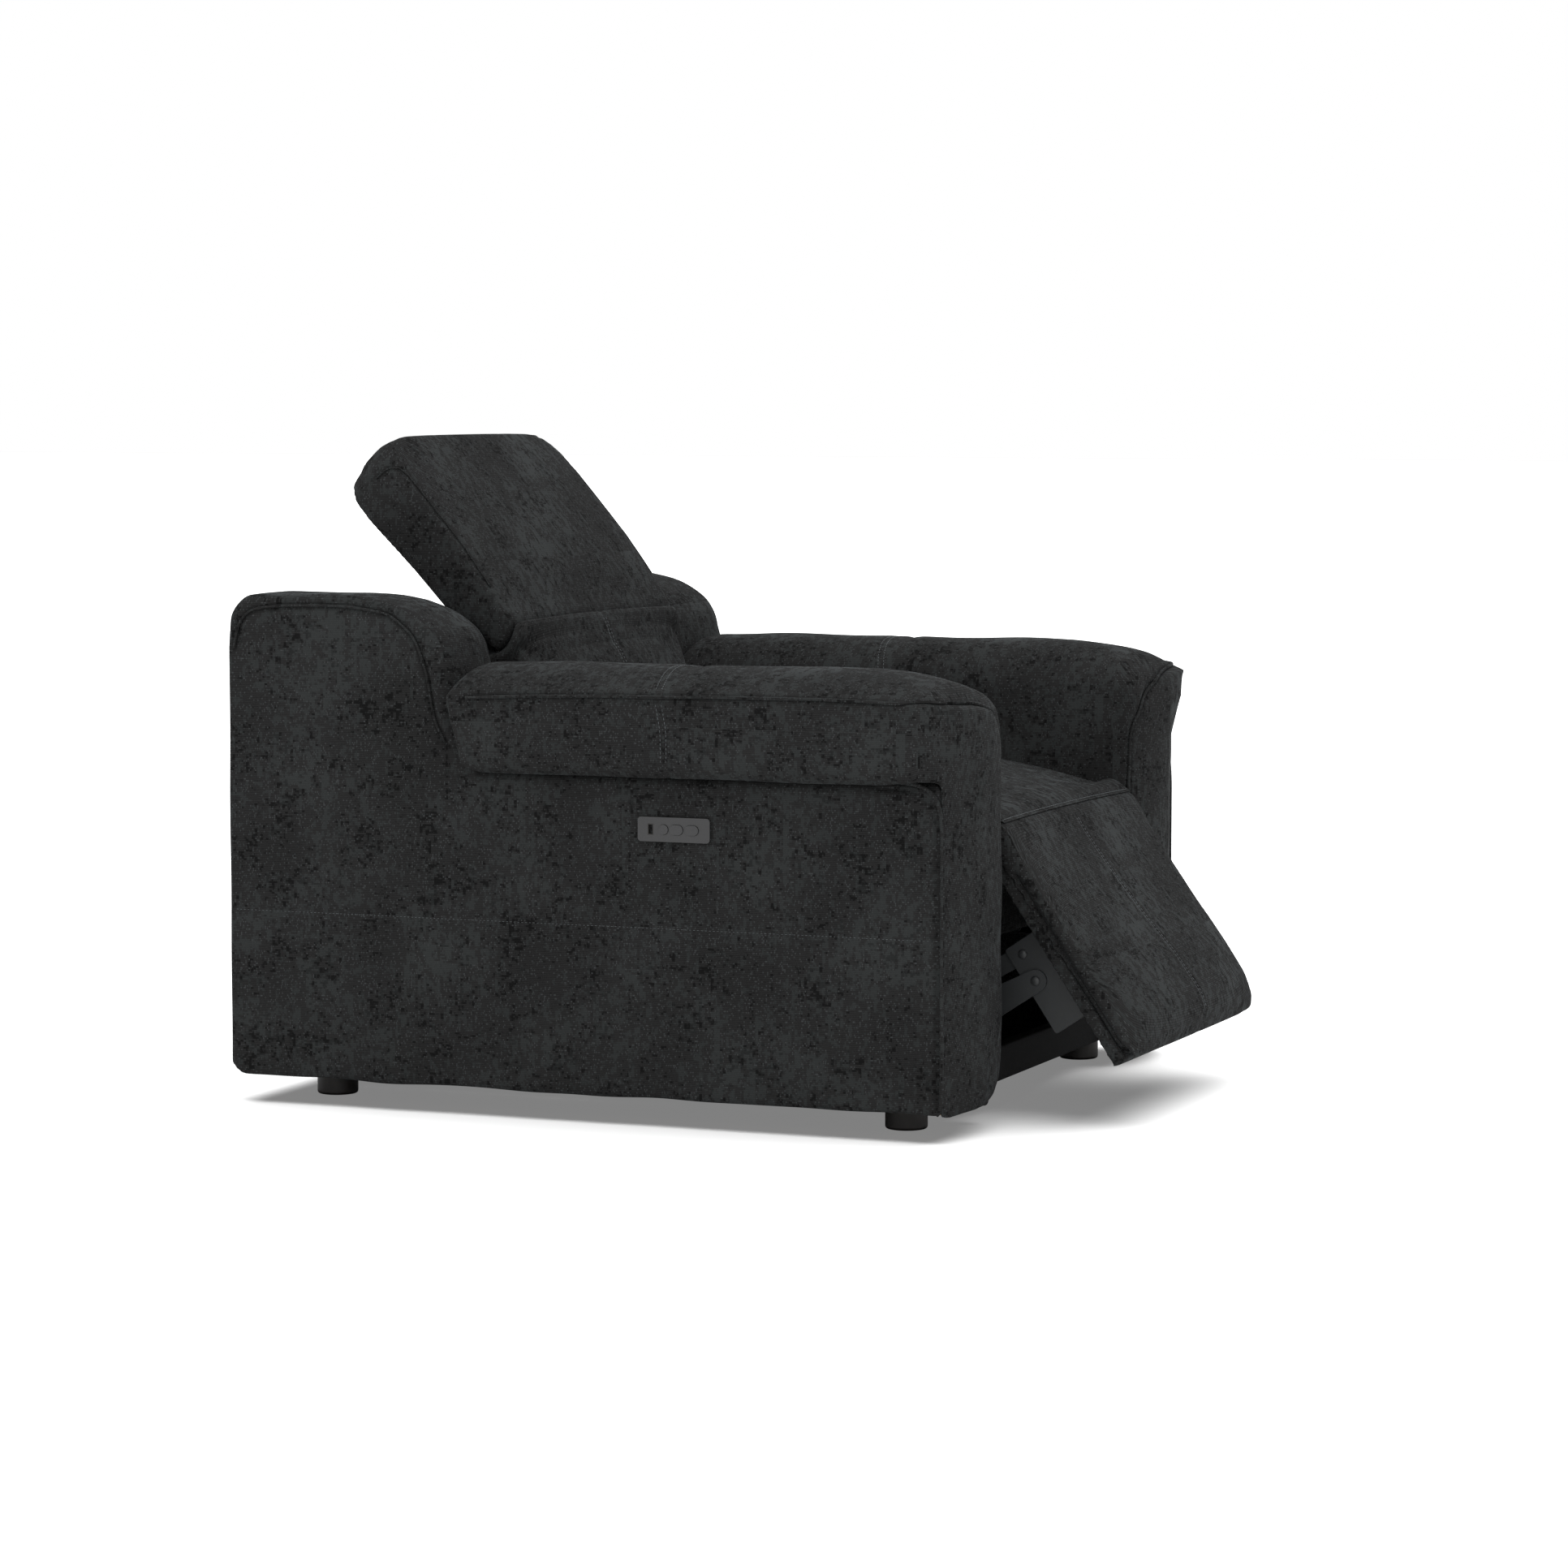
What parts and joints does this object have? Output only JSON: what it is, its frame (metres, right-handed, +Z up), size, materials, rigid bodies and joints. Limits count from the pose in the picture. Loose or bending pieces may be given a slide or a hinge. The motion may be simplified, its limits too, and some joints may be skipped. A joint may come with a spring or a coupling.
{
  "type": "power recliner",
  "caption": "Upholstered power recliner with winged shell, rolled arms, gliding seat, folding footrest, ratchet headrest and side control keys.",
  "frame": {"origin": "centre of the bounding box at rest, on the floor under the feet", "axes": "+Z up, the chair faces -Y, +X is the sitter's left"},
  "size_m": [1.1, 1.3243, 0.9585],
  "materials": {
    "chenille": "charcoal distressed chenille",
    "liner": "black lining cloth",
    "timber": "sawn softwood and plywood",
    "steel": "dark grey powder coat",
    "zinc": "bright zinc plate",
    "plastic": "black moulded plastic",
    "satin": "satin dark grey"
  },
  "bodies": {
    "shell": {"right_side_panel": "chenille", "left_side_panel": "chenille", "right_arm_pad": "chenille", "left_arm_pad": "chenille", "right_front_band": "chenille", "left_front_band": "chenille", "right_wing_pad": "chenille", "left_wing_pad": "chenille", "right_inner_panel": "chenille", "left_inner_panel": "chenille", "right_arm_frame": "timber", "left_arm_frame": "timber", "outside_back": "chenille", "base_rails": "timber", "feet": "plastic", "right_track": "steel", "left_track": "steel", "base_tubes": "steel", "guide_plates": "steel", "control_plate": "satin", "switch_box": "plastic", "usb_socket": "plastic", "button_springs": "zinc", "power_supply": "plastic", "power_inlet": "plastic", "switch_lead": "plastic"},
    "seat": {"seat_frame": "steel", "seat_springs": "zinc", "seat_cushion": "chenille", "apron": "chenille", "mechanism_plates": "steel", "seat_tubes": "steel", "glide_shoes": "plastic", "hinge_lugs": "steel", "leg_motor": "plastic", "recline_motor": "plastic"},
    "back": {"back_frame": "steel", "back_springs": "zinc", "back_cushion": "chenille", "back_cover": "liner", "guide_arms": "steel", "ratchet_bases": "steel"},
    "headrest": {"headrest_board": "timber", "headrest_pad": "chenille", "ratchet_arms": "steel"},
    "footrest": {"footrest_board": "timber", "footrest_pad": "chenille", "footrest_brackets": "steel", "footrest_hinges": "steel"},
    "crank": {"crank_tube": "steel", "crank_lever": "steel", "crank_plates": "steel"},
    "lower_link": {"lower_links": "steel"},
    "upper_link": {"upper_links": "steel"},
    "leg_drive": {"leg_rod": "zinc"},
    "recline_drive": {"recline_rod": "zinc"},
    "home_key": {"home_button": "satin"},
    "recline_key": {"recline_button": "satin"},
    "upright_key": {"upright_button": "satin"}
  },
  "joints": [
    {"name": "seat_glide", "type": "slide", "parent": "shell", "child": "seat", "axis": [0, -1, 0], "range_m": [0, 0.10001]},
    {"name": "back_recline", "type": "hinge", "parent": "seat", "child": "back", "pos_m": [0, 0.3593, 0.4], "axis": [-1, 0, 0], "range_deg": [0, 22]},
    {"name": "headrest_tilt", "type": "hinge", "parent": "back", "child": "headrest", "pos_m": [0, 0.3503, 0.687], "axis": [1, 0, 0], "range_deg": [0, 50]},
    {"name": "footrest_lift", "type": "hinge", "parent": "seat", "child": "footrest", "pos_m": [0, -0.4357, 0.399], "axis": [-1, 0, 0], "range_deg": [-33.8, 50]},
    {"name": "crank_turn", "type": "hinge", "parent": "seat", "child": "crank", "pos_m": [0, -0.3107, 0.329], "axis": [-1, 0, 0], "range_deg": [-33.8, 50]},
    {"name": "lower_link_swing", "type": "hinge", "parent": "crank", "child": "lower_link", "pos_m": [0, -0.36483, 0.1313], "axis": [1, 0, 0], "range_deg": [-33.8, 50]},
    {"name": "upper_link_swing", "type": "hinge", "parent": "crank", "child": "upper_link", "pos_m": [0, -0.34415, 0.16776], "axis": [1, 0, 0], "range_deg": [-33.8, 50]},
    {"name": "leg_screw", "type": "slide", "parent": "seat", "child": "leg_drive", "axis": [0, -1, 0], "range_m": [-0.03275, 0.04844]},
    {"name": "recline_screw", "type": "slide", "parent": "seat", "child": "recline_drive", "axis": [0, -1, 0], "range_m": [0, 0.04871]},
    {"name": "home_press", "type": "slide", "parent": "shell", "child": "home_key", "axis": [1, 0, 0], "range_m": [0, 0.0012], "stiffness_N_per_m": 1500, "springref_m": -0.0005},
    {"name": "recline_press", "type": "slide", "parent": "shell", "child": "recline_key", "axis": [1, 0, 0], "range_m": [0, 0.0012], "stiffness_N_per_m": 1500, "springref_m": -0.0005},
    {"name": "upright_press", "type": "slide", "parent": "shell", "child": "upright_key", "axis": [1, 0, 0], "range_m": [0, 0.0012], "stiffness_N_per_m": 1500, "springref_m": -0.0005}
  ],
  "couplings": [
    {"joint": "seat_glide", "follows": "back_recline", "m_per_rad": 0.26044},
    {"joint": "crank_turn", "follows": "footrest_lift", "ratio": 1},
    {"joint": "lower_link_swing", "follows": "footrest_lift", "ratio": 1},
    {"joint": "upper_link_swing", "follows": "footrest_lift", "ratio": 1},
    {"joint": "leg_screw", "follows": "footrest_lift", "m_per_rad": 0.0555},
    {"joint": "recline_screw", "follows": "back_recline", "m_per_rad": 0.12683}
  ]
}
